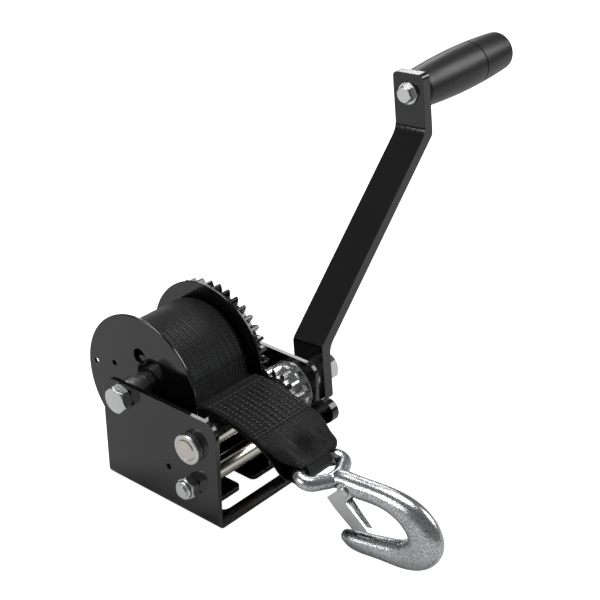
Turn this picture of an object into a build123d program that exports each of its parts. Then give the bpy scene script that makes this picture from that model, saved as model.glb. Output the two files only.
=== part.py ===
from build123d import *
import math
import os

os.makedirs("parts", exist_ok=True)

# A boat trailer winch. X runs along its shafts, towards the crank; -Y is the front, where the
# strap comes off; Z is up. The origin is the middle of the base's underside. Millimetres, degrees.

# --- Webbing and drum -----------------------------------------------------------------------
strap_width = 50.0
strap_thickness = 2.2
strap_side_gap = 2.7
roll_radius = 38.5
flange_radius = 47.0
flange_thickness = 1.8
drum_core_radius = 12.0
drum_neck_radius = 8.0
drum_neck_length = 6.0
drum_y = 30.0
drum_z = 63.0

# --- Folded frame -----------------------------------------------------------------------------
frame_length = 95.0
frame_height = 72.5
sheet = 3.0
bend_radius = 4.6
front_corner_radius = 8.0
rear_corner_radius = 11.5
left_hub_gap = 13.0
slot_width = 11.0
front_strip = 8.6
front_slot_length = 66.0
centre_slot_end = 18.0
tab_corner_radius = 3.5
rear_slot_length = 20.0
rear_slot_spacing = 40.0
rear_slot_inset = 14.0
service_hole_radius = 2.0
service_hole_y = -7.0
service_hole_z = 28.5

# --- Gears and ratchet ------------------------------------------------------------------------
gear_module = 2.3
drum_teeth = 38
pinion_teeth = 13
pressure_angle = 20.0
addendum = 1.0
backlash = 0.30
centre_slack = 0.10
mesh_angle = 191.5
gear_width = 7.2
face_gap = 0.4
ratchet_width = 5.6
ratchet_teeth = 12
ratchet_radius = 17.3
ratchet_depth = 4.2
disc_thickness = 0.5
disc_radius = 17.7
plate_gap = 0.3

# --- Shafts, bolts and bushes -------------------------------------------------------------------
shaft_radius = 7.0
run_clearance = 0.05
fit_gap = 0.3
bush_wall = 2.0
bush_flange = 1.5
collar_radius = 9.75
collar_length = 4.7
shaft_tail = 0.6
drum_bolt_radius = 5.0
drum_bolt_flats = 16.0
drum_bolt_head = 7.0
drum_nut_height = 9.0
drum_bush_wall = 1.6
drum_bush_length = 10.0
lower_bolt_radius = 4.0
lower_bolt_flats = 13.0
lower_bolt_head = 5.3
lower_nut_height = 8.0
lower_tube_radius = 6.35
lower_drop = 27.8
lower_set_back = 1.5
bolt_hole_gap = 0.25
thread_end = 1.5
washer_thickness = 1.6

# --- Pawl -----------------------------------------------------------------------------------------
pawl_hub_radius = 8.6
pawl_tab_radius = 7.5
pawl_tab_reach = 33.0
pawl_tab_rise = 24.5
pawl_throat = 5.0
pawl_nose_gap = 0.4
pawl_nose_width = 4.0
spring_wire = 0.8
spring_turns = 3

# --- Crank and grip -------------------------------------------------------------------------------
crank_width = 24.0
crank_thickness = 7.4
crank_start = 60.6
crank_step = 114.5
crank_bottom = 16.0
crank_lower_bend = 22.9
crank_upper_bend = 128.6
crank_top = 167.1
crank_lean = 4.64
crank_tilt = 1.3
crank_bend_radius = 5.0
crank_corner_radius = 3.5
crank_edge = 0.9
crank_nut_flats = 18.0
crank_nut_height = 10.0
crank_sleeve_radius = 10.0
grip_height = 153.8
grip_length = 96.0
grip_root_radius = 12.9
grip_belly_radius = 15.1
grip_end_radius = 13.3
grip_groove_at = 60.0
grip_bolt_radius = 4.0
grip_bolt_length = 84.0
grip_bolt_flats = 10.0
grip_flange_radius = 7.3

# --- Hook -----------------------------------------------------------------------------------------
hook_x = -6.0
eye_y = -86.0
eye_z = 44.0
eye_rod_radius = 4.5
eye_half_width = 16.2
eye_corner_radius = 6.0
eye_drop = 2.0
shank_web = 4.8
rivet_y = -113.0
rivet_z = 38.1
rivet_radius = 2.0
rivet_head_radius = 3.4
rivet_head_height = 1.3
latch_ear_radius = 5.2
latch_gap = 0.3
latch_sheet = 1.2
latch_angle = 50.4
latch_front = 4.7
latch_back = 15.6
latch_front_length = 26.5
latch_back_length = 20.5
latch_taper = 1.0

# --- Places along X worked out from the widths above -----------------------------------------------
drum_width = strap_width + 2 * strap_side_gap
frame_width = (
    2 * sheet + left_hub_gap + 2 * flange_thickness + drum_width + gear_width
    + face_gap + ratchet_width + disc_thickness + plate_gap
)
x_left = -frame_width / 2
x_left_in = x_left + sheet
x_flange_left = x_left_in + left_hub_gap
x_drum_left = x_flange_left + flange_thickness
x_drum_right = x_drum_left + drum_width
x_gear = x_drum_right + flange_thickness
x_gear_end = x_gear + gear_width
x_ratchet = x_gear_end + face_gap
x_ratchet_end = x_ratchet + ratchet_width
x_disc_end = x_ratchet_end + disc_thickness
x_right = frame_width / 2
x_right_in = x_right - sheet
x_roll = (x_drum_left + x_drum_right) / 2
x_neck_left = x_flange_left - drum_neck_length
x_neck_right = x_gear_end + 2.1

# --- Shaft axes ------------------------------------------------------------------------------------
drum_pitch_radius = gear_module * drum_teeth / 2
pinion_pitch_radius = gear_module * pinion_teeth / 2
centre_distance = drum_pitch_radius + pinion_pitch_radius + centre_slack
pinion_y = drum_y + centre_distance * math.cos(math.radians(mesh_angle))
pinion_z = drum_z + centre_distance * math.sin(math.radians(mesh_angle))
lower_y = pinion_y + lower_set_back
lower_z = pinion_z - lower_drop


def rod(radius, x0, x1, y, z):
    """A cylinder along X from x0 to x1."""
    return Pos(x0, y, z) * Rot(0, 90, 0) * Cylinder(
        radius, x1 - x0, align=(Align.CENTER, Align.CENTER, Align.MIN)
    )


def ring(outer, inner, x0, x1, y, z):
    """A tube along X from x0 to x1."""
    return rod(outer, x0, x1, y, z) - rod(inner, x0 - 1, x1 + 1, y, z)


def hexagon(flats, x0, x1, y, z, turn=0.0):
    """A hexagonal bar along X, chamfered by its corners' circle at both ends."""
    corner = flats / math.sqrt(3)
    bar = extrude(side_plane(x0, y, z) * Rot(0, 0, turn) * RegularPolygon(corner, 6), x1 - x0)
    edge = 0.08 * flats
    drum = chamfer(rod(corner + 0.02, x0, x1, y, z).edges().filter_by(GeomType.CIRCLE), edge)
    return bar & drum


def side_plane(x, y=0.0, z=0.0):
    """The plane across X at x: its own x is Y and its own y is Z."""
    return Plane(origin=(x, y, z), x_dir=(0, 1, 0), z_dir=(1, 0, 0))


def save(shape, name):
    """Names a finished piece and writes its file."""
    shape.label = name
    export_step(shape, "parts/" + name + ".step")


# --- The folded frame ---------------------------------------------------------------------------
def base_slot(length, width, x, y):
    """A slot through the base, along X, with round ends."""
    return Pos(x, y, -1) * extrude(SlotOverall(length, width), sheet + 2)


def frame():
    """One sheet folded into a U, with rounded top corners, shaft holes and mounting slots."""
    outer = Pos(0, frame_height / 2) * Rectangle(frame_width, frame_height)
    outer = fillet(outer.vertices().group_by(Axis.Y)[0], bend_radius)
    hollow_height = frame_height - sheet
    hollow = Pos(0, sheet + hollow_height / 2 + 1) * Rectangle(
        frame_width - 2 * sheet, hollow_height + 2
    )
    hollow = fillet(hollow.vertices().group_by(Axis.Y)[0], bend_radius - sheet)
    front_plane = Plane(origin=(0, -frame_length / 2, 0), x_dir=(1, 0, 0), z_dir=(0, -1, 0))
    body = extrude(front_plane * (outer - hollow), -frame_length)

    profile = Pos(0, frame_height / 2 - 1) * Rectangle(frame_length, frame_height + 2)
    top = profile.vertices().group_by(Axis.Y)[-1].sort_by(Axis.X)
    profile = fillet(top[0], front_corner_radius)
    top = profile.vertices().group_by(Axis.X)[-1].sort_by(Axis.Y)
    profile = fillet(top[-1], rear_corner_radius)
    body = body & extrude(side_plane(x_left - 1) * profile, frame_width + 2)

    slot_y = -frame_length / 2 + front_strip + slot_width / 2
    long_length = centre_slot_end - slot_y + slot_width / 2
    slots = SlotOverall(front_slot_length, slot_width)
    slots += Pos(0, long_length / 2) * Rectangle(slot_width, long_length)
    slots += Pos(0, long_length) * Circle(slot_width / 2)
    inner = [v for v in slots.vertices() if abs(v.Y - slot_width / 2) < 0.01]
    inner = [v for v in inner if abs(abs(v.X) - slot_width / 2) < 0.01]
    slots = fillet(inner, tab_corner_radius)
    body -= Pos(0, slot_y, -1) * extrude(slots, sheet + 2)
    rear_y = frame_length / 2 - rear_slot_inset
    for side in (-1, 1):
        body -= base_slot(rear_slot_length, slot_width, side * rear_slot_spacing / 2, rear_y)

    hole = drum_bolt_radius + bolt_hole_gap
    body -= rod(hole, x_left - 1, x_right + 1, drum_y, drum_z)
    body -= rod(shaft_radius + bush_wall, x_left - 1, x_right + 1, pinion_y, pinion_z)
    body -= rod(lower_bolt_radius + bolt_hole_gap, x_left - 1, x_right + 1, lower_y, lower_z)
    body -= rod(service_hole_radius, x_left - 1, x_left_in + 1, service_hole_y, service_hole_z)
    return body


# --- The drum -------------------------------------------------------------------------------------
def flange(x0, holes):
    """A pressed disc on the drum's neck, with the holes given as (radius, reach, angle)."""
    disc = rod(flange_radius, x0, x0 + flange_thickness, drum_y, drum_z)
    disc = fillet(disc.edges().filter_by(GeomType.CIRCLE), 0.5)
    disc -= rod(drum_neck_radius, x0 - 1, x0 + flange_thickness + 1, drum_y, drum_z)
    for radius, reach, angle in holes:
        y = drum_y + reach * math.cos(math.radians(angle))
        z = drum_z + reach * math.sin(math.radians(angle))
        disc -= rod(radius, x0 - 1, x0 + flange_thickness + 1, y, z)
    return disc


rivet_reach = 24.8
rivet_hole_radius = 2.0
rivet_first_angle = 18.6
left_holes = [(5.2, 21.0, 89.5), (1.9, 40.3, 4.8)]
rivet_holes = [(rivet_hole_radius, rivet_reach, rivet_first_angle + 120 * i) for i in range(3)]


def drum_core():
    """The turned barrel that the strap winds on, with a neck at each end for flange and gear."""
    core = rod(drum_core_radius, x_drum_left, x_drum_right, drum_y, drum_z)
    core += rod(drum_neck_radius, x_neck_left, x_neck_right, drum_y, drum_z)
    bush = drum_bolt_radius + run_clearance + drum_bush_wall
    core -= rod(drum_bolt_radius + 1.0, x_neck_left - 1, x_neck_right + 1, drum_y, drum_z)
    core -= rod(bush, x_neck_left - 1, x_neck_left + drum_bush_length, drum_y, drum_z)
    core -= rod(bush, x_neck_right - drum_bush_length, x_neck_right + 1, drum_y, drum_z)
    return core


def drum_bush(x0):
    """A plain bush pressed into one end of the core, running on the drum bolt."""
    inner = drum_bolt_radius + run_clearance
    return ring(inner + drum_bush_wall, inner, x0, x0 + drum_bush_length, drum_y, drum_z)


strap_pin_radius = 4.0
strap_pin_reach = drum_core_radius + strap_pin_radius + 1.0


def strap_pin(radius=strap_pin_radius):
    """The cross pin between the flanges that holds the strap's inner loop."""
    return rod(radius, x_drum_left, x_drum_right, drum_y, drum_z + strap_pin_reach)


def wound_strap():
    """The strap that is wound on the drum, as one solid of its outer size."""
    x0 = x_roll - strap_width / 2
    roll = ring(roll_radius, drum_core_radius, x0, x0 + strap_width, drum_y, drum_z)
    return roll - strap_pin()


def involute(angle):
    """The involute function of an angle in radians."""
    return math.tan(angle) - angle


def gear_face(teeth, turn):
    """A spur gear's outline with straight steps along each involute flank; turn in degrees."""
    pitch = gear_module * teeth / 2
    base = pitch * math.cos(math.radians(pressure_angle))
    tip = pitch + addendum * gear_module
    root = pitch - 1.15 * gear_module
    half = math.pi / (2 * teeth) - backlash / (4 * pitch) + involute(math.radians(pressure_angle))
    start = max(base, root)
    steps = [start + (tip - start) * i / 4 for i in range(5)]
    flank = [(r, half - involute(math.acos(min(1.0, base / r)))) for r in steps]
    if root < base:
        flank = [(root, flank[0][1])] + flank
    points = []
    for i in range(teeth):
        middle = math.radians(turn) + 2 * math.pi * i / teeth
        for r, a in flank:
            points.append((r * math.cos(middle - a), r * math.sin(middle - a)))
        for r, a in reversed(flank):
            points.append((r * math.cos(middle + a), r * math.sin(middle + a)))
    return make_face(Polyline(*points, close=True))


def drum_gear():
    """The large spur gear, riveted to the right flange and carried on the drum's neck."""
    blank = extrude(side_plane(x_gear, drum_y, drum_z) * gear_face(drum_teeth, mesh_angle), gear_width)
    blank -= rod(drum_neck_radius, x_gear - 1, x_gear_end + 1, drum_y, drum_z)
    dish = ring(33.0, 16.0, x_gear_end - 2.0, x_gear_end + 1, drum_y, drum_z)
    blank -= dish
    for radius, reach, angle in rivet_holes:
        y = drum_y + reach * math.cos(math.radians(angle))
        z = drum_z + reach * math.sin(math.radians(angle))
        blank -= rod(radius, x_gear - 1, x_gear_end + 1, y, z)
    return blank


def gear_rivets():
    """The three rivets that hold the gear to the right flange."""
    rivets = []
    for radius, reach, angle in rivet_holes:
        y = drum_y + reach * math.cos(math.radians(angle))
        z = drum_z + reach * math.sin(math.radians(angle))
        head = rod(radius + 1.6, x_gear_end - 2.0, x_gear_end - 0.4, y, z)
        head = fillet(head.edges().sort_by(Axis.X)[-1], 0.8)
        tail = rod(radius, x_drum_right, x_gear_end - 1.0, y, z)
        rivets.append(head + tail)
    return Compound(children=rivets)


# --- The drum's axle bolt -------------------------------------------------------------------------
x_drum_washer = x_right + washer_thickness
x_drum_nut = x_drum_washer + drum_nut_height


def drum_bolt():
    """The hexagon bolt that the drum turns on."""
    head = hexagon(drum_bolt_flats, x_left - drum_bolt_head, x_left, drum_y, drum_z, 14)
    return head + rod(drum_bolt_radius, x_left - 0.5, x_drum_nut + thread_end, drum_y, drum_z)


def lock_nut(flats, radius, x0, height, y, z, turn):
    """A lock nut with its round collar on the far end; height may be negative to point to -X."""
    far = x0 + height
    neck = x0 + 0.72 * height
    nut = hexagon(flats, min(x0, neck), max(x0, neck), y, z, turn)
    collar = rod(0.46 * flats, min(neck, far) - 0.2, max(neck, far), y, z)
    outer = collar.edges().filter_by(GeomType.CIRCLE).sort_by(Axis.X)[-1 if height > 0 else 0]
    collar = fillet(outer, 0.9)
    return nut + collar - rod(radius, min(x0, far) - 1, max(x0, far) + 1, y, z)


def hub_spacer(x0, x1):
    """A plastic spacer on the drum bolt, between a side plate and the drum's neck."""
    return ring(drum_neck_radius + 1.6, drum_bolt_radius, x0, x1, drum_y, drum_z)


# --- The pinion shaft -----------------------------------------------------------------------------
x_collar = x_left - fit_gap
x_shaft_left = x_collar - collar_length - shaft_tail
x_bush_right = x_right + bush_flange
x_sleeve = x_bush_right + fit_gap
x_crank = max(crank_start, x_sleeve + 6.0)
x_crank_out = x_crank + crank_thickness
x_crank_nut = x_crank_out + crank_nut_height
x_shaft_right = x_crank_nut + thread_end


def pinion_shaft():
    """The ground shaft that carries pinion, ratchet wheel and crank."""
    shaft = rod(shaft_radius, x_shaft_left, x_crank, pinion_y, pinion_z)
    shaft = chamfer(shaft.edges().filter_by(GeomType.CIRCLE).sort_by(Axis.X)[0], 0.8)
    end = rod(shaft_radius - 1.0, x_crank - 1, x_shaft_right, pinion_y, pinion_z)
    return shaft + chamfer(end.edges().filter_by(GeomType.CIRCLE).sort_by(Axis.X)[-1], 0.8)


def shaft_collar():
    """The ring pressed on the shaft's left end, which stops it sliding out."""
    x1 = x_collar - collar_length
    collar = rod(collar_radius, x1, x_collar, pinion_y, pinion_z)
    collar = fillet(collar.edges().filter_by(GeomType.CIRCLE).sort_by(Axis.X)[0], 0.9)
    return collar - rod(shaft_radius, x1 - 1, x_collar + 1, pinion_y, pinion_z)


def plate_bush(x_in, x_out, x_flange0, x_flange1):
    """A flanged plain bush in a side plate, for the pinion shaft."""
    outer = shaft_radius + bush_wall
    bush = rod(outer, x_in, x_out, pinion_y, pinion_z)
    bush += rod(outer + 1.8, x_flange0, x_flange1, pinion_y, pinion_z)
    return bush - rod(shaft_radius + run_clearance, x_in - 3, x_out + 3, pinion_y, pinion_z)


def pinion_gear():
    """The small spur gear on the shaft; a gap between its teeth faces the drum gear's tooth."""
    turn = mesh_angle + 180 + 180 / pinion_teeth
    x0 = x_gear + face_gap
    blank = extrude(
        side_plane(x0, pinion_y, pinion_z) * gear_face(pinion_teeth, turn), x_gear_end - x0
    )
    return blank - rod(shaft_radius, x0 - 1, x_gear_end + 1, pinion_y, pinion_z)


def ratchet_wheel():
    """A wheel with even, blunt teeth that the pawl can hold either way, beside the pinion."""
    points = []
    root = ratchet_radius - ratchet_depth
    pitch = 360 / ratchet_teeth
    for i in range(ratchet_teeth):
        middle = i * pitch + 5.0
        for r, a in ((root, -0.33), (ratchet_radius, -0.21), (ratchet_radius, 0.21), (root, 0.33)):
            turn = math.radians(middle + a * pitch)
            points.append((r * math.cos(turn), r * math.sin(turn)))
    face = make_face(Polyline(*points, close=True))
    wheel = extrude(side_plane(x_gear_end, pinion_y, pinion_z) * face, x_ratchet_end - x_gear_end)
    wheel -= rod(drum_gear_reach(), x_gear_end - 1, x_ratchet, drum_y, drum_z)
    return wheel - rod(shaft_radius, x_gear_end - 1, x_ratchet_end + 1, pinion_y, pinion_z)


def drum_gear_reach():
    """The drum gear's tip radius with a little air, for what stands beside it."""
    return drum_pitch_radius + addendum * gear_module + 2 * fit_gap


def ratchet_disc():
    """The thin disc against the ratchet wheel that rubs on the side plate."""
    return ring(disc_radius, shaft_radius, x_ratchet_end, x_disc_end, pinion_y, pinion_z)


def crank_sleeve():
    """The spacer tube on the shaft between the right bush and the crank."""
    return ring(crank_sleeve_radius, shaft_radius, x_sleeve, x_crank, pinion_y, pinion_z)


# --- The lower tie bolt and the pawl ------------------------------------------------------------
x_lower_nut = x_left - lower_nut_height


def lower_bolt():
    """The tie bolt under the pinion, with its head on the crank side."""
    head = hexagon(lower_bolt_flats, x_right, x_right + lower_bolt_head, lower_y, lower_z, 10)
    return head + rod(lower_bolt_radius, x_lower_nut - thread_end, x_right + 0.5, lower_y, lower_z)


def lower_tube():
    """The spacer tube on the tie bolt that keeps the side plates apart."""
    return ring(lower_tube_radius, lower_bolt_radius + 0.3, x_left_in, x_right_in, lower_y, lower_z)


def pawl():
    """A thick lever on the spacer tube: hub, blunt nose towards the ratchet, rounded finger tab."""
    tab = (lower_y - pawl_tab_reach, lower_z + pawl_tab_rise)
    length = math.hypot(pawl_tab_reach, pawl_tab_rise)
    across = (pawl_tab_rise / length, pawl_tab_reach / length)
    corners = []
    for radius, (y, z), side in (
        (pawl_hub_radius, (lower_y, lower_z), 1),
        (pawl_tab_radius, tab, 1),
        (pawl_tab_radius, tab, -1),
        (pawl_hub_radius, (lower_y, lower_z), -1),
    ):
        corners.append((y + side * radius * across[0], z + side * radius * across[1]))
    shape = make_face(Polyline(*corners, close=True))
    shape += Pos(lower_y, lower_z) * Circle(pawl_hub_radius)
    shape += Pos(*tab) * Circle(pawl_tab_radius)
    shape -= Pos(pinion_y, pinion_z) * Circle(ratchet_radius + pawl_throat)
    shape += Pos(lower_y, lower_z) * Circle(pawl_hub_radius)

    foot = lower_drop * pawl_tab_rise / length
    foot_y = lower_y - foot * pawl_tab_reach / length
    foot_z = lower_z + foot * pawl_tab_rise / length
    aim = math.atan2(foot_z - pinion_z, foot_y - pinion_y)
    near = ratchet_radius + pawl_nose_gap
    far = ratchet_radius + pawl_throat + 5.0
    nose = []
    for reach, half in (
        (near, pawl_nose_width / 2),
        (far, pawl_nose_width),
        (far, -pawl_nose_width),
        (near, -pawl_nose_width / 2),
    ):
        nose.append(
            (
                pinion_y + reach * math.cos(aim) - half * math.sin(aim),
                pinion_z + reach * math.sin(aim) + half * math.cos(aim),
            )
        )
    shape += make_face(Polyline(*nose, close=True)) - (
        Pos(pinion_y, pinion_z) * Circle(ratchet_radius + pawl_nose_gap)
    )
    shape -= Pos(lower_y, lower_z) * Circle(lower_tube_radius + run_clearance)
    return extrude(side_plane(x_ratchet) * shape, ratchet_width)


def pawl_spring():
    """A wire coil round the spacer tube beside the pawl, with one leg down to the base."""
    pitch = 2 * spring_wire + 0.3
    radius = lower_tube_radius + fit_gap + spring_wire
    x0 = x_gear - pitch * spring_turns - 1.0
    coil_path = Helix(pitch, pitch * spring_turns, radius)
    start = coil_path @ 0
    section = Plane(origin=start, z_dir=coil_path % 0) * Circle(spring_wire)
    coil = sweep(section, coil_path, is_frenet=True)
    coil = Pos(x0, lower_y, lower_z) * Rot(0, 90, 0) * coil
    leg = Pos(x0, lower_y, lower_z - radius) * Rot(180, 0, 0) * Cylinder(
        spring_wire, lower_z - radius - sheet, align=(Align.CENTER, Align.CENTER, Align.MIN)
    )
    return coil, leg


# --- Crank and grip ---------------------------------------------------------------------------------
def crank_place():
    """Where the crank's own frame stands: X along the shaft, Z up the arm."""
    return Pos(0, pinion_y, pinion_z) * Rot(-crank_lean, 0, 0)


x_crank_top = x_crank + crank_step
crank_slope = math.degrees(math.atan2(crank_step, crank_upper_bend - crank_lower_bend))


def crank_line(offset):
    """The arm's side line, offset outwards square to each run: (x, height) from the foot up."""
    slope = math.radians(crank_slope)
    tilt = math.radians(crank_tilt)
    low = offset * math.tan(slope / 2)
    high = offset * math.tan((slope + tilt) / 2)
    top = crank_top - crank_upper_bend
    return [
        (x_crank + offset, -crank_bottom),
        (x_crank + offset, crank_lower_bend - low),
        (
            x_crank_top + offset * math.cos(tilt) + high * math.sin(tilt),
            crank_upper_bend + offset * math.sin(tilt) - high * math.cos(tilt),
        ),
        (
            x_crank_top + offset * math.cos(tilt) - top * math.sin(tilt),
            crank_upper_bend + offset * math.sin(tilt) + top * math.cos(tilt),
        ),
    ]


def crank_arm():
    """A flat bar bent twice, so that its grip stands well clear of the frame."""
    points = crank_line(0) + crank_line(crank_thickness)[::-1]
    face = make_face(Polyline(*points, close=True))
    inner = [v for v in face.vertices() if corner_at(v, points[1]) or corner_at(v, points[5])]
    face = fillet(inner, crank_bend_radius)
    outer = [v for v in face.vertices() if corner_at(v, points[2]) or corner_at(v, points[6])]
    face = fillet(outer, crank_bend_radius + crank_thickness)
    wide = Plane(origin=(0, crank_width / 2, 0), x_dir=(1, 0, 0), z_dir=(0, -1, 0))
    bar = extrude(wide * face, crank_width)
    height = crank_top + crank_bottom
    rounded = RectangleRounded(crank_width, height, crank_corner_radius)
    middle = crank_top / 2 - crank_bottom / 2
    bar &= Pos(x_crank - 20, 0, middle) * Rot(0, 90, 0) * Rot(0, 0, 90) * extrude(
        rounded, crank_step + 60
    )
    bar = crank_place() * bar
    bar -= rod(shaft_radius - 1.0, x_crank - 1, x_crank_out + 1, pinion_y, pinion_z)
    return bar - grip_place() * rod(grip_bolt_radius, -20, 20, 0, 0)


def corner_at(vertex, point):
    """Whether a vertex of the arm's side face is the one at this point."""
    return math.hypot(vertex.X - point[0], vertex.Y - point[1]) < 0.01


def crank_nut():
    """The nut that clamps the crank on the shaft."""
    nut = hexagon(crank_nut_flats, x_crank_out, x_crank_nut, pinion_y, pinion_z, 20)
    return nut - rod(shaft_radius - 1.0, x_crank_out - 1, x_crank_nut + 1, pinion_y, pinion_z)


def grip_place():
    """The grip's own frame: its origin on the arm's inner face, X along the grip."""
    up = grip_height - crank_upper_bend
    tilt = math.radians(crank_tilt)
    x = x_crank_top - up * math.tan(tilt)
    return crank_place() * Pos(x, 0, grip_height) * Rot(0, -crank_tilt, 0)


def grip_bolt():
    """The flange-head bolt that the grip turns on, put in from the arm's inner side."""
    flange_head = rod(grip_flange_radius, -1.4, 0, 0, 0)
    head = hexagon(grip_bolt_flats, -5.6, -1.2, 0, 0, 12)
    stem = rod(grip_bolt_radius, -1.0, grip_bolt_length, 0, 0)
    return grip_place() * (flange_head + head + stem)


def grip():
    """The turned plastic grip: a blind bore, a swelling belly, a thin groove and a round end."""
    x0 = crank_thickness + 0.4
    x1 = x0 + grip_length
    belly = (x0 + 0.45 * grip_length, grip_belly_radius)
    end_round = 5.0
    side = Spline(
        (x0 + 1.2, grip_root_radius),
        belly,
        (x1 - end_round, grip_end_radius),
    )
    nose = Spline(
        (x1 - end_round, grip_end_radius),
        (x1 - 1.3, grip_end_radius - 2.6),
        (x1, grip_end_radius - 8.0),
        tangents=(side % 1, (-0.05, -1)),
    )
    lines = [
        Line((x0, 0), (x0, grip_root_radius - 1.2)),
        Line((x0, grip_root_radius - 1.2), (x0 + 1.2, grip_root_radius)),
        side,
        nose,
        Line((x1, grip_end_radius - 8.0), (x1, 0)),
        Line((x1, 0), (x0, 0)),
    ]
    body = revolve(make_face(lines), Axis.X)
    groove_x = x0 + grip_groove_at
    cut = ring(grip_belly_radius + 2, grip_belly_radius - 1.15, groove_x, groove_x + 1.0, 0, 0)
    bore = rod(grip_bolt_radius + run_clearance, x0 - 1, grip_bolt_length + 0.6, 0, 0)
    return grip_place() * (body - cut - bore)


# --- Free end of the strap ------------------------------------------------------------------------
def strap_band(points, radius, thickness):
    """A band of webbing seen from the side: the outline of a path with one thickness."""
    path = FilletPolyline(*points, radius=radius)
    return trace(path, thickness)


loop_inner = eye_rod_radius + fit_gap
loop_outer = loop_inner + strap_thickness
split_y = -60.0
split_z = 56.0


def strap_run():
    """The stitched double layer from the roll to where the loop opens."""
    half = strap_thickness
    lift = roll_radius + fit_gap + half
    leave = math.radians(165)
    start = (drum_y + lift * math.cos(leave), drum_z + lift * math.sin(leave))
    points = [
        start,
        (start[0] - 2.9, start[1] - 9.0),
        (-24.0, 63.0),
        (-40.0, 61.6),
        (split_y, split_z),
    ]
    face = strap_band(points, 3.5, 2 * strap_thickness)
    x0 = x_roll - strap_width / 2
    return extrude(side_plane(x0) * face, strap_width)


def strap_loop():
    """The loop round the hook's eye bar, gathered narrower than the strap."""
    outer = make_hull([Pos(eye_y, eye_z) * Circle(loop_outer).edge(),
                       Pos(split_y, split_z) * Circle(strap_thickness).edge()])
    inner = make_hull([Pos(eye_y, eye_z) * Circle(loop_inner).edge(),
                       Pos(split_y - 6.0, split_z - 2.6) * Circle(0.5).edge()])
    face = outer - inner
    x0 = x_roll - strap_width / 2
    band = extrude(side_plane(x0) * face, strap_width)
    near = loop_half_width()
    y0 = eye_y - loop_outer - 1
    y1 = eye_y + loop_outer + 2
    plan = make_face(Polyline(
        (hook_x - near, y0), (hook_x + near, y0), (hook_x + near, y1),
        (x0 + strap_width, split_y - 4.0), (x0 + strap_width, split_y),
        (x0, split_y), (x0, split_y - 4.0), (hook_x - near, y1), close=True,
    ))
    return (band & extrude(plan, frame_height)) - strap_run()


def loop_half_width():
    """Half the width of the gathered loop, on the eye's straight bar."""
    return 0.75 * eye_half_width - 0.56 * eye_corner_radius


# --- Hook, latch and rivet ----------------------------------------------------------------------
# The hook's own stations: y, z on its middle line, then half its depth and half its thickness.
hook_stations = [
    (-105.0, 42.3, 5.6, 5.6),
    (-113.0, 42.3, 6.8, 6.4),
    (-125.0, 43.2, 6.8, 6.3),
    (-139.0, 44.5, 6.9, 6.5),
    (-152.5, 43.0, 8.5, 7.0),
    (-163.5, 37.4, 10.6, 7.4),
    (-168.8, 28.6, 11.6, 7.6),
    (-165.6, 19.4, 10.8, 7.4),
    (-156.0, 12.6, 9.1, 7.0),
    (-142.0, 9.2, 7.4, 6.6),
    (-129.0, 6.6, 6.6, 6.2),
    (-118.5, 5.2, 5.9, 5.7),
    (-113.6, 5.2, 4.4, 4.5),
]


def hook():
    """A forged hook: an eye for the strap, a deep bowl and a blunt tip."""
    middle = Spline(*[(0, s[0], s[1]) for s in hook_stations])
    sections = []
    for y, z, depth, half in hook_stations:
        at = middle.param_at_point((0, y, z))
        along = middle.tangent_at(at)
        plane = Plane(origin=(hook_x, y, z), x_dir=(1, 0, 0), z_dir=along)
        sections.append(plane * Ellipse(half, depth))
    body = loft(sections)
    tip = hook_stations[-1]
    body += Pos(hook_x, tip[0] + 0.4, tip[1]) * Sphere(tip[2] - 0.15)
    body += eye_ring()
    pocket = latch_ear_radius + 4 * latch_gap
    for side in (-1, 1):
        web = hook_x + side * shank_web / 2
        edge = hook_x + side * 20
        body -= rod(pocket, min(web, edge), max(web, edge), rivet_y, rivet_z)
    return body - rod(rivet_radius, hook_x - 20, hook_x + 20, rivet_y, rivet_z)


def eye_ring():
    """The closed eye: a straight bar for the strap and two arms that meet at the shank."""
    reach = eye_y - hook_stations[0][0] - 1.0
    w = eye_half_width
    half = [
        (0.75 * w, 0), (w, -0.30 * reach), (w, -0.65 * reach), (0.26 * w, -reach),
    ]
    outline = make_face(Polyline(*half, *[(-x, y) for x, y in half[::-1]], close=True))
    tilt = math.degrees(math.atan2(eye_drop, reach))
    outline = fillet(outline.vertices(), eye_corner_radius)
    path = Pos(hook_x, eye_y, eye_z) * Rot(tilt, 0, 0) * outline.wire()
    section = Plane(origin=path @ 0, z_dir=path % 0) * Circle(eye_rod_radius)
    return sweep(section, path)


latch_inner = shank_web / 2 + latch_gap
latch_outer = latch_inner + latch_sheet


def latch_plane(x):
    """The latch's side plane at x from the hook's middle: own x to its back, own y up it."""
    turn = math.radians(latch_angle)
    return Plane(
        origin=(hook_x + x, rivet_y, rivet_z),
        x_dir=(0, math.cos(turn), -math.sin(turn)),
        z_dir=(1, 0, 0),
    )


def latch_taper_block(half):
    """A block over the whole latch, half wide at the rivet and narrower towards its end."""
    turn = math.radians(latch_angle)
    front = Plane(
        origin=(hook_x, rivet_y, rivet_z),
        x_dir=(1, 0, 0),
        z_dir=(0, -math.cos(turn), math.sin(turn)),
    )
    end = half - latch_taper
    down = -latch_front_length - 1
    shape = Polyline(
        (-half, 10), (-half, -4), (-end, down), (end, down), (half, -4), (half, 10), close=True
    )
    return extrude(front * make_face(shape), 60, both=True)


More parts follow.
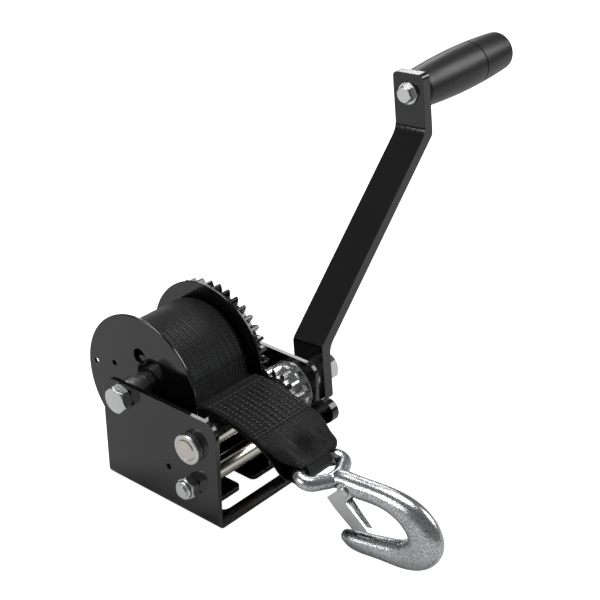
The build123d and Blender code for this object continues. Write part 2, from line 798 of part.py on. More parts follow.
def latch():
    """A deep pressed channel with two ears on the rivet, which closes the hook's mouth."""
    side = make_face(Polyline(
        (latch_front - 2.0, 3.2),
        (latch_back - 0.3, 3.9),
        (latch_back, -4.4),
        (latch_back - 0.8, -latch_back_length),
        (latch_front, -latch_front_length),
        (latch_front, -6.0),
        (-2.0, -4.0),
        close=True,
    ))
    side += Circle(latch_ear_radius)
    body = extrude(latch_plane(-latch_outer) * side, 2 * latch_outer)
    body &= latch_taper_block(latch_outer)
    inside = Pos(latch_back - latch_sheet - 1.0 - 20, 0) * Rectangle(40, 4 * latch_back_length)
    hollow = extrude(latch_plane(-latch_inner) * inside, 2 * latch_inner)
    body -= hollow & latch_taper_block(latch_inner)
    return body - rod(rivet_radius + run_clearance, hook_x - 20, hook_x + 20, rivet_y, rivet_z)


def rivet_head(x0):
    """One domed head of the latch's rivet, its flat side at x0."""
    head = rod(rivet_head_radius, x0, x0 + rivet_head_height, rivet_y, rivet_z)
    edge = head.edges().filter_by(GeomType.CIRCLE).sort_by(Axis.X)[-1]
    return fillet(edge, 0.8)


def latch_rivet():
    """The rivet that the latch turns on, through the hook's shank."""
    end = latch_outer + latch_gap
    stem = rod(rivet_radius, hook_x - end - 0.5, hook_x + end + 0.5, rivet_y, rivet_z)
    far = rivet_head(hook_x + end)
    near = Pos(2 * hook_x, 0, 0) * mirror(far, about=Plane.YZ)
    return stem + far + near


if __name__ == "__main__":
    save(frame(), "frame")
    save(flange(x_flange_left, left_holes + rivet_holes[:1]), "drum_flange_left")
    save(flange(x_drum_right, rivet_holes), "drum_flange_right")
    save(drum_core(), "drum_core")
    save(drum_bush(x_neck_left), "drum_bush_left")
    save(drum_bush(x_neck_right - drum_bush_length), "drum_bush_right")
    save(strap_pin(), "strap_pin")
    save(wound_strap(), "wound_strap")
    save(drum_gear(), "drum_gear")
    save(gear_rivets(), "gear_rivets")
    save(drum_bolt(), "drum_bolt")
    save(ring(10.0, drum_bolt_radius, x_right, x_drum_washer, drum_y, drum_z), "drum_washer")
    save(lock_nut(drum_bolt_flats, drum_bolt_radius, x_drum_washer, drum_nut_height,
                  drum_y, drum_z, 0), "drum_nut")
    save(hub_spacer(x_left_in, x_neck_left - fit_gap), "hub_spacer_left")
    save(hub_spacer(x_neck_right + fit_gap, x_right_in), "hub_spacer_right")
    save(pinion_shaft(), "pinion_shaft")
    save(shaft_collar(), "shaft_collar")
    save(plate_bush(x_left, x_left_in, x_left_in, x_left_in + bush_flange), "pinion_bush_left")
    save(plate_bush(x_right_in, x_right, x_right, x_bush_right), "pinion_bush_right")
    save(pinion_gear(), "pinion_gear")
    save(ratchet_wheel(), "ratchet_wheel")
    save(ratchet_disc(), "ratchet_disc")
    save(crank_sleeve(), "crank_sleeve")
    save(lower_bolt(), "lower_bolt")
    save(lock_nut(lower_bolt_flats, lower_bolt_radius, x_left, -lower_nut_height,
                  lower_y, lower_z, 25), "lower_nut")
    save(lower_tube(), "lower_tube")
    save(pawl(), "pawl")
    coil, leg = pawl_spring()
    save(coil + leg, "pawl_spring")
    save(crank_arm(), "crank_arm")
    save(crank_nut(), "crank_nut")
    save(grip_bolt(), "grip_bolt")
    save(grip(), "grip")
    save(strap_run(), "strap_run")
    save(strap_loop(), "strap_loop")
    save(hook(), "hook")
    save(latch(), "latch")
    save(latch_rivet(), "latch_rivet")
    print("frame width", frame_width, "pinion", pinion_y, pinion_z, "lower", lower_y, lower_z)
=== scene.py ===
import math
import bpy
import numpy as np
from mathutils import Matrix, Vector


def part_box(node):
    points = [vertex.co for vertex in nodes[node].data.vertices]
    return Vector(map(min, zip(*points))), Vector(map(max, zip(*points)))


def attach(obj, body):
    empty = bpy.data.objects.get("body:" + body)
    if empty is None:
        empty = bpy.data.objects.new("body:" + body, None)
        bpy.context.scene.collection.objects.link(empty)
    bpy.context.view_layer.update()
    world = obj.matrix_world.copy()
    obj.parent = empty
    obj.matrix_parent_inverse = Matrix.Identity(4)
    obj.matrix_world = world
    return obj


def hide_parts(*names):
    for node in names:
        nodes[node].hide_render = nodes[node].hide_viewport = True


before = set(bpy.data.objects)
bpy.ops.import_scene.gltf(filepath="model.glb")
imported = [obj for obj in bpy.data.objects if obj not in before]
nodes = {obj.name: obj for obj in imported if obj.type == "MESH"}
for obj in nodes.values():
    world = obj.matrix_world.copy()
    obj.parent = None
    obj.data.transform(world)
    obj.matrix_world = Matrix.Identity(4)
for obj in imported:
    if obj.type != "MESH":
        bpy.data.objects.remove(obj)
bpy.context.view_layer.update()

# ---------------------------------------------------------------------------------------------
# The folded frame: one 3 mm steel sheet bent into a U, then painted glossy black all over.
# Thick wet paint leaves a faint orange peel, and handling leaves fine dull specks and rubs.
# ---------------------------------------------------------------------------------------------


def socket_in(group, name, value):
    """A float input of a node group with its resting value."""
    made = group.interface.new_socket(name=name, in_out="INPUT", socket_type="NodeSocketFloat")
    made.default_value = value


def math_node(tree, operation, first, second=None, third=None):
    """A Math node; each operand is a socket or a number. Returns its output socket."""
    node = tree.nodes.new("ShaderNodeMath")
    node.operation = operation
    for slot, operand in zip(node.inputs, (first, second, third)):
        if operand is None:
            continue
        if isinstance(operand, (int, float)):
            slot.default_value = operand
        else:
            tree.links.new(operand, slot)
    return node.outputs[0]


def noise_node(tree, vector, scale, detail=3.0, roughness=0.55):
    """A noise texture on a vector; returns its value output. scale may be a socket."""
    node = tree.nodes.new("ShaderNodeTexNoise")
    tree.links.new(vector, node.inputs["Vector"])
    if isinstance(scale, (int, float)):
        node.inputs["Scale"].default_value = scale
    else:
        tree.links.new(scale, node.inputs["Scale"])
    node.inputs["Detail"].default_value = detail
    node.inputs["Roughness"].default_value = roughness
    return node.outputs[0]


def ramp_node(tree, value, low, high, to_low=0.0, to_high=1.0):
    """Maps a value from low..high onto to_low..to_high, clamped."""
    node = tree.nodes.new("ShaderNodeMapRange")
    tree.links.new(value, node.inputs["Value"])
    for key, number in (("From Min", low), ("From Max", high), ("To Min", to_low), ("To Max", to_high)):
        if isinstance(number, (int, float)):
            node.inputs[key].default_value = number
        else:
            tree.links.new(number, node.inputs[key])
    return node.outputs[0]


def mix_colours(tree, factor, first, second):
    """Blends two colours by a factor; each colour is a socket or an RGB triple."""
    node = tree.nodes.new("ShaderNodeMix")
    node.data_type = "RGBA"
    tree.links.new(factor, node.inputs["Factor"])
    for slot, colour in ((node.inputs[6], first), (node.inputs[7], second)):
        if isinstance(colour, tuple):
            slot.default_value = (*colour, 1.0)
        else:
            tree.links.new(colour, slot)
    return node.outputs[2]


def surface_wear():
    """Group: a fine ripple for bump, a slow cloud, and a mask of sparse small specks and rubs."""
    group = bpy.data.node_groups.new("SurfaceWear", "ShaderNodeTree")
    socket_in(group, "Ripple Scale", 400.0)
    socket_in(group, "Cloud Scale", 30.0)
    socket_in(group, "Speck Scale", 700.0)
    for name in ("Ripple", "Cloud", "Specks"):
        group.interface.new_socket(name=name, in_out="OUTPUT", socket_type="NodeSocketFloat")
    entry = group.nodes.new("NodeGroupInput")
    leave = group.nodes.new("NodeGroupOutput")
    place = group.nodes.new("ShaderNodeTexCoord").outputs["Object"]
    ripple = noise_node(group, place, entry.outputs["Ripple Scale"], 2.0)
    cloud = noise_node(group, place, entry.outputs["Cloud Scale"], 4.0)
    grains = noise_node(group, place, entry.outputs["Speck Scale"], 2.0, 0.7)
    sparse = ramp_node(group, cloud, 0.50, 0.68)
    specks = math_node(group, "MULTIPLY", ramp_node(group, grains, 0.62, 0.72), sparse)
    group.links.new(ripple, leave.inputs["Ripple"])
    group.links.new(cloud, leave.inputs["Cloud"])
    group.links.new(specks, leave.inputs["Specks"])
    return group


wear_group = surface_wear()


def new_material(name, **values):
    """A Principled material; values set its shader's own sockets. Returns tree and shader too."""
    material = bpy.data.materials.new(name)
    material.use_nodes = True
    shader = material.node_tree.nodes["Principled BSDF"]
    for key, value in values.items():
        socket = shader.inputs[key.replace("_", " ")]
        socket.default_value = (*value, 1.0) if isinstance(value, tuple) else value
    return material, material.node_tree, shader


def use_wear(tree, ripple=400.0, cloud=30.0, speck=700.0):
    """Places the wear group in a material with its own three scales."""
    node = tree.nodes.new("ShaderNodeGroup")
    node.node_tree = wear_group
    node.inputs["Ripple Scale"].default_value = ripple
    node.inputs["Cloud Scale"].default_value = cloud
    node.inputs["Speck Scale"].default_value = speck
    return node.outputs


def bump(tree, shader, height, strength, distance, edge=0.0):
    """Feeds a height into the shader's normal; edge rounds sharp edges by that radius."""
    node = tree.nodes.new("ShaderNodeBump")
    if edge:
        soft = tree.nodes.new("ShaderNodeBevel")
        soft.samples = 6
        soft.inputs["Radius"].default_value = edge
        tree.links.new(soft.outputs[0], node.inputs["Normal"])
    node.inputs["Strength"].default_value = strength
    node.inputs["Distance"].default_value = distance
    tree.links.new(height, node.inputs["Height"])
    tree.links.new(node.outputs[0], shader.inputs["Normal"])


paint, tree, shader = new_material(
    "gloss_black_paint", Base_Color=(0.003, 0.003, 0.0035), Roughness=0.12,
    Coat_Weight=0.35, Coat_Roughness=0.04,
)
wear = use_wear(tree, 330.0, 26.0, 900.0)
tree.links.new(
    mix_colours(tree, wear["Specks"], (0.003, 0.003, 0.0035), (0.040, 0.039, 0.038)),
    shader.inputs["Base Color"],
)
rough = math_node(tree, "MULTIPLY_ADD", wear["Cloud"], 0.10, 0.05)
tree.links.new(math_node(tree, "MULTIPLY_ADD", wear["Specks"], 0.25, rough), shader.inputs["Roughness"])
bump(tree, shader, wear["Ripple"], 0.08, 0.0005, edge=0.0007)


def coat_node(name, material):
    """Gives a carried-over piece its finish."""
    slots = nodes[name].material_slots
    for slot in slots:
        slot.link = "OBJECT"
        slot.material = material


for name in (
    "frame", "drum_flange_left", "drum_flange_right", "drum_gear", "crank_arm", "pawl", "strap_pin",
):
    coat_node(name, paint)

# ---------------------------------------------------------------------------------------------
# Bolts, nuts, shaft, pinion, ratchet and tubes: turned or cold-headed steel, bright zinc plated.
# The plating has a faint cloudiness, a fine ripple, and dull grazes.
# ---------------------------------------------------------------------------------------------
zinc, tree, shader = new_material(
    "bright_zinc_plate", Base_Color=(0.72, 0.73, 0.74), Metallic=1.0, Roughness=0.24,
)
wear = use_wear(tree, 900.0, 60.0, 1500.0)
tint = mix_colours(tree, wear["Cloud"], (0.62, 0.64, 0.67), (0.84, 0.83, 0.80))
tree.links.new(mix_colours(tree, wear["Specks"], tint, (0.32, 0.32, 0.32)), shader.inputs["Base Color"])
rough = math_node(tree, "MULTIPLY_ADD", wear["Cloud"], 0.26, 0.12)
tree.links.new(math_node(tree, "MULTIPLY_ADD", wear["Specks"], 0.2, rough), shader.inputs["Roughness"])
bump(tree, shader, wear["Ripple"], 0.12, 0.0003, edge=0.0004)

for name in (
    "drum_core", "gear_rivets", "drum_bolt", "drum_washer", "drum_nut",
    "shaft_collar", "pinion_gear", "ratchet_wheel", "ratchet_disc", "crank_sleeve",
    "lower_bolt", "lower_nut", "pawl_spring", "crank_nut", "grip_bolt", "hub_spacer_left",
):
    coat_node(name, zinc)

tube_steel, tree, shader = new_material(
    "drawn_tube_plate", Base_Color=(0.78, 0.76, 0.72), Metallic=1.0, Roughness=0.16,
)
wear = use_wear(tree, 1200.0, 45.0, 1500.0)
tree.links.new(
    mix_colours(tree, wear["Cloud"], (0.66, 0.60, 0.53), (0.84, 0.80, 0.74)),
    shader.inputs["Base Color"],
)
tree.links.new(math_node(tree, "MULTIPLY_ADD", wear["Cloud"], 0.16, 0.07), shader.inputs["Roughness"])
bump(tree, shader, wear["Ripple"], 0.06, 0.0002)
for name in ("pinion_shaft", "lower_tube"):
    coat_node(name, tube_steel)

# ---------------------------------------------------------------------------------------------
# Bushes and spacers: moulded black nylon with a dull, very fine grain.
# They sit between the plates and the turning pieces.
# ---------------------------------------------------------------------------------------------
nylon, tree, shader = new_material(
    "black_nylon", Base_Color=(0.018, 0.018, 0.019), Roughness=0.42,
)
wear = use_wear(tree, 1500.0, 80.0, 2500.0)
tree.links.new(
    mix_colours(tree, wear["Cloud"], (0.013, 0.013, 0.014), (0.030, 0.030, 0.031)),
    shader.inputs["Base Color"],
)
bump(tree, shader, wear["Ripple"], 0.15, 0.0002)
for name in (
    "drum_bush_left", "drum_bush_right", "hub_spacer_right",
    "pinion_bush_left", "pinion_bush_right",
):
    coat_node(name, nylon)

# ---------------------------------------------------------------------------------------------
# Webbing: 50 mm black polyester, woven in fine ribs straight across its width, with a rolled
# selvedge at each edge. Its UV map holds metres across and metres along the strap.
# ---------------------------------------------------------------------------------------------


def web_weave():
    """Group: ribs across the strap, a sine along it, that lean a little to and fro in columns."""
    group = bpy.data.node_groups.new("WebWeave", "ShaderNodeTree")
    socket_in(group, "Rib Pitch", 0.00135)
    socket_in(group, "Column Width", 0.0024)
    socket_in(group, "Lean", 0.18)
    for name in ("Height", "Fuzz"):
        group.interface.new_socket(name=name, in_out="OUTPUT", socket_type="NodeSocketFloat")
    entry = group.nodes.new("NodeGroupInput")
    leave = group.nodes.new("NodeGroupOutput")
    map_node = group.nodes.new("ShaderNodeUVMap")
    map_node.uv_map = "strap"
    split = group.nodes.new("ShaderNodeSeparateXYZ")
    group.links.new(map_node.outputs[0], split.inputs[0])
    across, along = split.outputs[0], split.outputs[1]
    column = math_node(group, "DIVIDE", across, entry.outputs["Column Width"])
    zig = math_node(group, "PINGPONG", column, 1.0)
    shift = math_node(group, "MULTIPLY", zig, entry.outputs["Lean"])
    rib = math_node(group, "ADD", math_node(group, "DIVIDE", along, entry.outputs["Rib Pitch"]), shift)
    wave = math_node(group, "SINE", math_node(group, "MULTIPLY", rib, 2 * math.pi))
    ridge = math_node(group, "MULTIPLY_ADD", wave, 0.5, 0.5)
    half_turns = math_node(group, "MULTIPLY", column, math.pi)
    groove = math_node(group, "ABSOLUTE", math_node(group, "SINE", half_turns))
    groove = math_node(group, "POWER", groove, 0.5)
    height = math_node(group, "MULTIPLY", ridge, math_node(group, "MULTIPLY_ADD", groove, 0.6, 0.4))
    fuzz = noise_node(group, map_node.outputs[0], 900.0, 3.0, 0.7)
    group.links.new(height, leave.inputs["Height"])
    group.links.new(fuzz, leave.inputs["Fuzz"])
    return group


weave_group = web_weave()
webbing, tree, shader = new_material(
    "black_webbing", Base_Color=(0.007, 0.007, 0.008), Roughness=0.5,
    Sheen_Weight=0.03, Sheen_Roughness=0.4, Sheen_Tint=(0.5, 0.5, 0.52), Specular_IOR_Level=0.32,
)
weave = tree.nodes.new("ShaderNodeGroup")
weave.node_tree = weave_group
weave_out = weave.outputs
# The rib tops are painted lighter and the grooves darker: a painted highlight on each rib and painted
# shade between them.
rib_painted_highlight = mix_colours(tree, weave_out["Height"], (0.0003, 0.0003, 0.0004), (0.021, 0.021, 0.023))
wear = use_wear(tree, 400.0, 40.0, 1600.0)
tree.links.new(
    mix_colours(tree, math_node(tree, "MULTIPLY", wear["Cloud"], 0.2), rib_painted_highlight, (0.003, 0.003, 0.0035)),
    shader.inputs["Base Color"],
)
tree.links.new(math_node(tree, "MULTIPLY_ADD", weave_out["Fuzz"], 0.20, 0.27), shader.inputs["Roughness"])
lift = math_node(tree, "MULTIPLY_ADD", weave_out["Fuzz"], 0.15, weave_out["Height"])
bump(tree, shader, lift, 1.0, 0.0015)


def grid_faces(rows, columns, close_rows=False, close_columns=False):
    """Quads of a grid whose point (i, j) has the number i * columns + j."""
    i = np.arange(rows if close_rows else rows - 1)
    j = np.arange(columns if close_columns else columns - 1)
    i, j = np.meshgrid(i, j, indexing="ij")
    i, j = i.ravel(), j.ravel()
    ni, nj = (i + 1) % rows, (j + 1) % columns
    return np.stack([i * columns + j, i * columns + nj, ni * columns + nj, ni * columns + j], 1)


def mesh_piece(name, points, faces, material, smooth=True, uv=None):
    """A mesh object from points and a list of equal-sized face arrays, with an optional UV per point."""
    mesh = bpy.data.meshes.new(name)
    faces = faces if isinstance(faces, list) else [faces]
    loops = np.concatenate([f.ravel() for f in faces])
    counts = np.concatenate([np.full(len(f), f.shape[1]) for f in faces])
    starts = np.concatenate([[0], np.cumsum(counts)[:-1]])
    points = np.asarray(points, float).reshape(-1, 3)
    mesh.vertices.add(len(points))
    mesh.vertices.foreach_set("co", points.astype(np.float32).ravel())
    mesh.loops.add(len(loops))
    mesh.loops.foreach_set("vertex_index", loops.astype(np.int32))
    mesh.polygons.add(len(counts))
    mesh.polygons.foreach_set("loop_start", starts.astype(np.int32))
    mesh.polygons.foreach_set("loop_total", counts.astype(np.int32))
    mesh.update(calc_edges=True)
    mesh.polygons.foreach_set("use_smooth", np.full(len(counts), smooth))
    if uv is not None:
        layer = mesh.uv_layers.new(name="strap")
        layer.data.foreach_set("uv", np.asarray(uv, np.float32).reshape(-1, 2)[loops].ravel())
    mesh.validate()
    mesh.materials.append(material)
    piece = bpy.data.objects.new(name, mesh)
    bpy.context.scene.collection.objects.link(piece)
    return piece


def smooth_path(points, count):
    """Evenly spaced points on a Catmull-Rom curve through the given ones."""
    p = np.asarray(points, float)
    p = np.vstack([2 * p[0] - p[1], p, 2 * p[-1] - p[-2]])
    t = np.linspace(0, 1, 24, endpoint=False)[:, None]
    runs = []
    for a, b, c, d in zip(p[:-3], p[1:-2], p[2:-1], p[3:]):
        runs.append(0.5 * (2 * b + (c - a) * t + (2 * a - 5 * b + 4 * c - d) * t**2
                           + (3 * b - a - 3 * c + d) * t**3))
    line = np.vstack(runs + [p[-2:-1]])
    reach = np.concatenate([[0], np.cumsum(np.linalg.norm(np.diff(line, axis=0), axis=1))])
    even = np.linspace(0, reach[-1], count)
    return np.stack([np.interp(even, reach, line[:, k]) for k in range(line.shape[1])], 1), even


def web_section(width, thickness, columns):
    """The strap's cross-section as a closed loop: across, and up from its middle, with fat edges."""
    x = np.linspace(-1, 1, columns)
    edge = np.sqrt(np.clip(1 - np.abs(x) ** 26, 0, 1))
    swell = 1 + 0.12 * np.exp(-((np.abs(x) - 0.955) / 0.02) ** 2)
    half = thickness / 2 * edge * swell
    across = np.concatenate([x * width / 2, x[::-1][1:-1] * width / 2])
    up = np.concatenate([half, -half[::-1][1:-1]])
    return across, up


# ---------------------------------------------------------------------------------------------
# The wound strap: about twelve turns of the webbing, rolled tightly on the barrel over its pin.
# The roll is one long spiral, so its edges show the turns and its outside shows the last end.
# ---------------------------------------------------------------------------------------------


def end_caps(rows, columns):
    """The two end faces of a closed band whose point (i, j) has the number i * columns + j."""
    ring = np.arange(columns)
    return [ring[None, ::-1], (rows - 1) * columns + ring[None, :]]


web_width = 0.050
web_thickness = 0.0022
barrel_radius = 0.0122
roll_low, roll_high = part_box("wound_strap")
roll_middle = (Vector(roll_low) + Vector(roll_high)) / 2
roll_radius = (roll_high[2] - roll_low[2]) / 2
roll_turns = (roll_radius - barrel_radius) / web_thickness
strap_leaves = math.radians(165)

roll_steps = 900
squeezed = 0.97

turn = np.linspace(strap_leaves - 2 * math.pi * roll_turns, strap_leaves, roll_steps)
radius = np.linspace(barrel_radius + web_thickness / 2, roll_radius - web_thickness / 2, roll_steps)
across, up = web_section(web_width, web_thickness * squeezed, 21)
wander = 0.00035 * np.sin(turn * 0.37 + 1.0) + 0.0002 * np.sin(turn * 1.31)
reach = radius[:, None] + up[None, :]
points = np.stack([
    roll_middle[0] + across[None, :] + wander[:, None] + 0 * reach,
    roll_middle[1] + reach * np.cos(turn)[:, None],
    roll_middle[2] + reach * np.sin(turn)[:, None],
], 2)
length = np.concatenate([[0], np.cumsum(np.diff(turn) * (radius[1:] + radius[:-1]) / 2)])
uv = np.stack([across[None, :] + 0 * reach, length[:, None] + 0 * reach], 2)
faces = grid_faces(len(turn), len(across), close_columns=True)
caps = end_caps(len(turn), len(across))
wound = mesh_piece("wound_webbing", points, [faces, *caps], webbing, uv=uv)
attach(wound, "drum")
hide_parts("wound_strap")

# ---------------------------------------------------------------------------------------------
# The strap's free end: it comes off the roll, passes round the eye's bar, and comes back over
# itself to its cut end. Two layers are sewn together; at the eye the strap gathers in folds.
# ---------------------------------------------------------------------------------------------
hook_middle_x = -0.006
eye_bar = (-0.086, 0.044)
strap_middle_x = float(roll_middle[0])
layer = web_thickness / 2
bar_radius = 0.0045
bar_gap = 0.0003
bar_reach = bar_radius + bar_gap + layer
bar_straight_half = 0.0086
bar_bend_radius = 0.006
gather_from, gather_to = 0.064, 0.0893
gathered_half = 0.0106
fold_height = 0.0052
curl_depth = 0.0046

lower_route = [
    (-0.0061, 0.0727), (-0.0070, 0.0682), (-0.0076, 0.0660), (-0.0095, 0.0626), (-0.0135, 0.0614),
    (-0.020, 0.0616), (-0.034, 0.0609), (-0.047, 0.0586), (-0.060, 0.0548), (-0.070, 0.0489),
    (-0.0782, 0.0404),
]
wrap = [(eye_bar[0] + bar_reach * math.cos(a), eye_bar[1] + bar_reach * math.sin(a))
        for a in np.radians([-48, -90, -135, -180, -225, -270])]
upper_route = [
    (-0.0782, 0.0512), (-0.070, 0.0541), (-0.060, 0.0573), (-0.047, 0.0609), (-0.034, 0.0632),
    (-0.0245, 0.0640), (-0.0155, 0.0639),
]
line, along = smooth_path(lower_route + wrap + upper_route, 420)
tangent = np.gradient(line, axis=0)
tangent /= np.linalg.norm(tangent, axis=1)[:, None]
normal = np.stack([-tangent[:, 1], tangent[:, 0]], 1)


def ease(value, low, high):
    """A smooth step from 0 at low to 1 at high."""
    t = np.clip((value - low) / (high - low), 0, 1)
    return t * t * (3 - 2 * t)


drawn_in = np.clip((-line[:, 0] - gather_from) / (gather_to - gather_from), 0, 1)
gather = 1 - np.sqrt(1 - drawn_in**2)
across, up = web_section(web_width, web_thickness * 0.96, 61)
half_wide = web_width / 2 * (1 - gather) + gathered_half * gather
place = across / (web_width / 2)
middle_x = strap_middle_x * (1 - gather) + hook_middle_x * gather
on_bar = ease(-line[:, 0], 0.077, 0.089)
loose = ease(-line[:, 0], gather_from, 0.078) * (1 - on_bar)
folds = fold_height * loose[:, None] * (0.5 + 0.5 * np.cos(place * math.pi * 1.9 - 1.2))[None, :]
curl = curl_depth * loose[:, None] * np.abs(place[None, :]) ** 4
offset = up[None, :] + folds - curl
sideways = middle_x[:, None] + half_wide[:, None] * place[None, :]
past_bend = np.clip(np.abs(sideways - hook_middle_x) - bar_straight_half, 0, 0.005)
bend = on_bar[:, None] * (bar_bend_radius - np.sqrt(bar_bend_radius**2 - past_bend**2))
points = np.stack([
    sideways,
    line[:, :1] + normal[:, :1] * offset - bend,
    line[:, 1:] + normal[:, 1:] * offset,
], 2)
uv = np.stack([across[None, :] + 0 * offset, along[:, None] + 0 * offset], 2)
faces = grid_faces(len(line), len(across), close_columns=True)
caps = end_caps(len(line), len(across))
free = mesh_piece("free_webbing", points, [faces, *caps], webbing, uv=uv)
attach(free, "winch_frame")
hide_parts("strap_run", "strap_loop")

# ---------------------------------------------------------------------------------------------
# The stitching that joins the strap's two layers: a cross row near each end, and eleven rows
# lengthwise between them. Each stitch is a short thick thread, half sunk into the webbing.
# ---------------------------------------------------------------------------------------------


def stitch_shape(rings=7, sides=8):
    """A unit stitch along its first axis, a swollen ball, as points and faces with closed ends."""
    t = np.linspace(0, math.pi, rings + 2)[1:-1]
    a = np.linspace(0, 2 * math.pi, sides, endpoint=False)
    girth = np.sin(t)[:, None] ** 0.6
    body = np.stack([-np.cos(t)[:, None] + 0 * a, girth * np.cos(a), girth * np.sin(a)], 2)
    body = body.reshape(-1, 3)
    shape = np.vstack([body, [(-1, 0, 0), (1, 0, 0)]])
    ring = np.arange(sides)
    after = (ring + 1) % sides
    last = (rings - 1) * sides
    start = np.stack([ring, np.full(sides, rings * sides), after], 1)
    end = np.stack([last + after, np.full(sides, rings * sides + 1), last + ring], 1)
    quads = grid_faces(rings, sides, close_columns=True)
    return shape, quads[:, ::-1], np.vstack([start, end])[:, ::-1]


stitch, stitch_quads, stitch_tips = stitch_shape()
stitch_size = (0.00125, 0.00042, 0.00038)
proud = 0.00005
cross_rows = (-0.0215, -0.0580)
lengthwise_rows = np.linspace(-0.0215, 0.0215, 11)
along_row = np.arange(-0.0560, -0.0230, 0.0031)
across_row = np.arange(-0.0225, 0.0226, 0.0030)
sewn = [(x, y, True) for x in lengthwise_rows for y in along_row]
sewn += [(x, y, False) for y in cross_rows for x in across_row]
upper_start = int(np.argmin(line[:, 0]))
stitch_points = []
for layer_points in (slice(upper_start, None), slice(0, upper_start)):
    part_y, part_z = line[layer_points, 0], line[layer_points, 1]
    part_n = normal[layer_points]
    order = np.argsort(part_y)
    part_y, part_z, part_n = part_y[order], part_z[order], part_n[order]
    for x, y, lengthwise in sewn:
        n = np.array([np.interp(y, part_y, part_n[:, 0]), np.interp(y, part_y, part_n[:, 1])])
        spot = np.array([strap_middle_x + x, y, np.interp(y, part_y, part_z)])
        out = np.array([0, *n])
        spot = spot + out * (layer + proud)
        ahead = np.array([0, -n[1], n[0]]) if lengthwise else np.array([1.0, 0, 0])
        beside = np.cross(out, ahead)
        half_axes = np.stack([ahead * stitch_size[0], beside * stitch_size[1], out * stitch_size[2]])
        stitch_points.append(stitch @ half_axes + spot)
shift = (np.arange(len(stitch_points)) * len(stitch))[:, None, None]
thread, tree, shader = new_material(
    "polyester_thread", Base_Color=(0.016, 0.016, 0.017), Roughness=0.34, Sheen_Weight=0.1,
)
wear = use_wear(tree, 2600.0, 300.0, 1500.0)
tree.links.new(
    mix_colours(tree, wear["Cloud"], (0.010, 0.010, 0.011), (0.030, 0.030, 0.032)),
    shader.inputs["Base Color"],
)
bump(tree, shader, wear["Ripple"], 0.3, 0.0002)
sewing = mesh_piece(
    "strap_stitching", np.concatenate(stitch_points),
    [(stitch_quads[None] + shift).reshape(-1, 4), (stitch_tips[None] + shift).reshape(-1, 3)], thread,
)
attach(sewing, "winch_frame")

# ---------------------------------------------------------------------------------------------
# Hook: a steel forging with a rounded eye, zinc plated over its rough skin.
# Its bars are fused by a fine remesh, and smoothed to the soft edges that forging dies leave.
# ---------------------------------------------------------------------------------------------
forged, tree, shader = new_material(
    "plated_forging", Base_Color=(0.66, 0.67, 0.68), Metallic=1.0, Roughness=0.26,
)
wear = use_wear(tree, 1100.0, 90.0, 1400.0)
tint = mix_colours(tree, wear["Cloud"], (0.56, 0.58, 0.61), (0.82, 0.80, 0.75))
# Where the ripple sinks, the skin is painted darker: painted shade in the pits of the bumped skin, laid
# over the plating's mottled tone.
tree.links.new(
    mix_colours(tree, ramp_node(tree, wear["Ripple"], 0.36, 0.56), (0.26, 0.29, 0.33), tint),
    shader.inputs["Base Color"],
)
tree.links.new(ramp_node(tree, wear["Ripple"], 0.35, 0.65, 0.30, 0.15), shader.inputs["Roughness"])
bump(tree, shader, wear["Ripple"], 0.30, 0.0004)
coat_node("hook", forged)
fuse = nodes["hook"].modifiers.new("fuse", "REMESH")
fuse.mode = "VOXEL"
fuse.voxel_size = 0.0006
fuse.use_smooth_shade = True
soften = nodes["hook"].modifiers.new("soften", "SMOOTH")
soften.factor = 0.5
soften.iterations = 9

latch_plate, tree, shader = new_material(
    "plated_pressing", Base_Color=(0.72, 0.73, 0.74), Metallic=1.0, Roughness=0.2,
)
wear = use_wear(tree, 800.0, 70.0, 1300.0)
tree.links.new(
    mix_colours(tree, wear["Cloud"], (0.60, 0.62, 0.65), (0.80, 0.79, 0.76)),
    shader.inputs["Base Color"],
)
bump(tree, shader, wear["Ripple"], 0.08, 0.0003)
for name in ("latch", "latch_rivet"):
    coat_node(name, latch_plate)

# ---------------------------------------------------------------------------------------------
# Grip: turned black plastic with a satin skin and a fine ripple, free on its bolt.
# ---------------------------------------------------------------------------------------------
grip_skin, tree, shader = new_material(
    "satin_grip", Base_Color=(0.007, 0.007, 0.008), Roughness=0.38,
)
wear = use_wear(tree, 1300.0, 40.0, 1200.0)
tree.links.new(
    mix_colours(tree, wear["Cloud"], (0.005, 0.005, 0.006), (0.012, 0.012, 0.013)),
    shader.inputs["Base Color"],
)
tree.links.new(math_node(tree, "MULTIPLY_ADD", wear["Cloud"], 0.2, 0.28), shader.inputs["Roughness"])
bump(tree, shader, wear["Ripple"], 0.18, 0.0004)
coat_node("grip", grip_skin)

# ---------------------------------------------------------------------------------------------
# Studio: a pale floor under a white surround, with soft boxes above, left, right and behind.
# The floor and the surround look white themselves, and send less light back to the object.
# The camera looks down at the winch from its front left.
# ---------------------------------------------------------------------------------------------
floor_white, tree, shader = new_material("studio_floor", Base_Color=(0.58, 0.58, 0.58), Roughness=0.9)
glow = tree.nodes.new("ShaderNodeEmission")
glow.inputs["Strength"].default_value = 0.95
lit_or_glow = tree.nodes.new("ShaderNodeMixShader")
tree.links.new(tree.nodes.new("ShaderNodeLightPath").outputs["Is Camera Ray"], lit_or_glow.inputs[0])
tree.links.new(shader.outputs[0], lit_or_glow.inputs[1])
both = tree.nodes.new("ShaderNodeAddShader")
tree.links.new(shader.outputs[0], both.inputs[0])
tree.links.new(glow.outputs[0], both.inputs[1])
tree.links.new(both.outputs[0], lit_or_glow.inputs[2])
tree.links.new(lit_or_glow.outputs[0], tree.nodes["Material Output"].inputs["Surface"])
corners = np.array([(-6, -6, 0), (6, -6, 0), (6, 6, 0), (-6, 6, 0)], float)
floor = mesh_piece("studio_floor", corners, np.array([[0, 1, 2, 3]]), floor_white, smooth=False)
floor.location.z = -0.0004

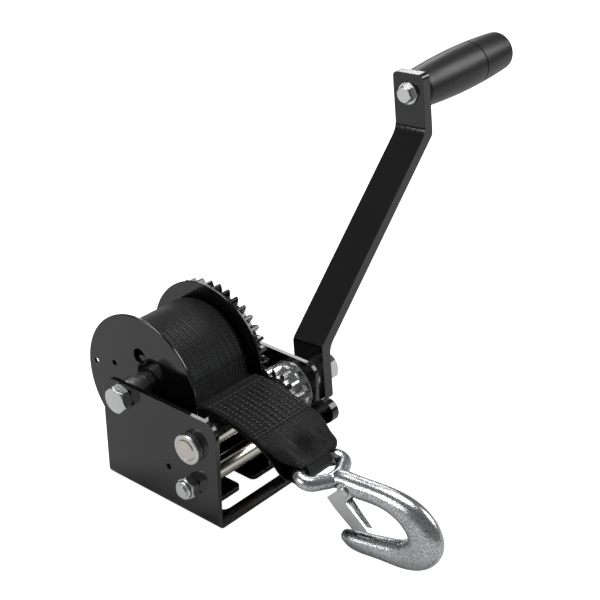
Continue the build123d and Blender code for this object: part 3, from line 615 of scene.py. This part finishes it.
world = bpy.data.worlds.new("studio")
bpy.context.scene.world = world
world.use_nodes = True
tree = world.node_tree
surround = tree.nodes["Background"]
surround.inputs["Color"].default_value = (1, 1, 1, 1)
surround.inputs["Strength"].default_value = 0.18
backdrop = tree.nodes.new("ShaderNodeBackground")
backdrop.inputs["Color"].default_value = (1, 1, 1, 1)
backdrop.inputs["Strength"].default_value = 1.05
chooser = tree.nodes.new("ShaderNodeMixShader")
tree.links.new(tree.nodes.new("ShaderNodeLightPath").outputs["Is Camera Ray"], chooser.inputs[0])
tree.links.new(surround.outputs[0], chooser.inputs[1])
tree.links.new(backdrop.outputs[0], chooser.inputs[2])
tree.links.new(chooser.outputs[0], tree.nodes["World Output"].inputs["Surface"])


def soft_box(name, place, aim, size, power):
    """A square area lamp at a place, facing a point."""
    lamp = bpy.data.lights.new(name, "AREA")
    lamp.size = size
    lamp.energy = power
    holder = bpy.data.objects.new(name, lamp)
    holder.location = place
    holder.rotation_euler = (Vector(aim) - Vector(place)).to_track_quat("-Z", "Y").to_euler()
    bpy.context.scene.collection.objects.link(holder)


soft_box("top_box", (0.15, 0.35, 1.4), (0, 0, 0.05), 0.7, 15)
soft_box("left_box", (-1.3, 0.7, 0.6), (0, 0, 0.06), 0.6, 7)
soft_box("right_box", (1.25, -0.90, 1.10), (0, 0, 0.06), 0.9, 13)
soft_box("rear_box", (1.30, 1.15, 0.90), (0, 0, 0.06), 0.6, 4.5)

camera = bpy.data.cameras.new("camera")
camera.sensor_width = 36
camera.lens = 90.27
camera.clip_end = 50
holder = bpy.data.objects.new("camera", camera)
heading, drop, roll = math.radians(48.956), math.radians(27.824), math.radians(-0.659)
level = Vector((math.cos(heading), -math.sin(heading), 0))
forward = Vector((math.sin(heading) * math.cos(drop), math.cos(heading) * math.cos(drop), -math.sin(drop)))
above = level.cross(forward)
right = level * math.cos(roll) + above * math.sin(roll)
top = above * math.cos(roll) - level * math.sin(roll)
turn = Matrix((right, top, -forward)).transposed().to_4x4()
camera_place = (-0.5615, -0.5617, 0.5379)
holder.matrix_world = Matrix.Translation(camera_place) @ turn
bpy.context.scene.collection.objects.link(holder)
bpy.context.scene.camera = holder
bpy.context.scene.view_settings.view_transform = "Standard"
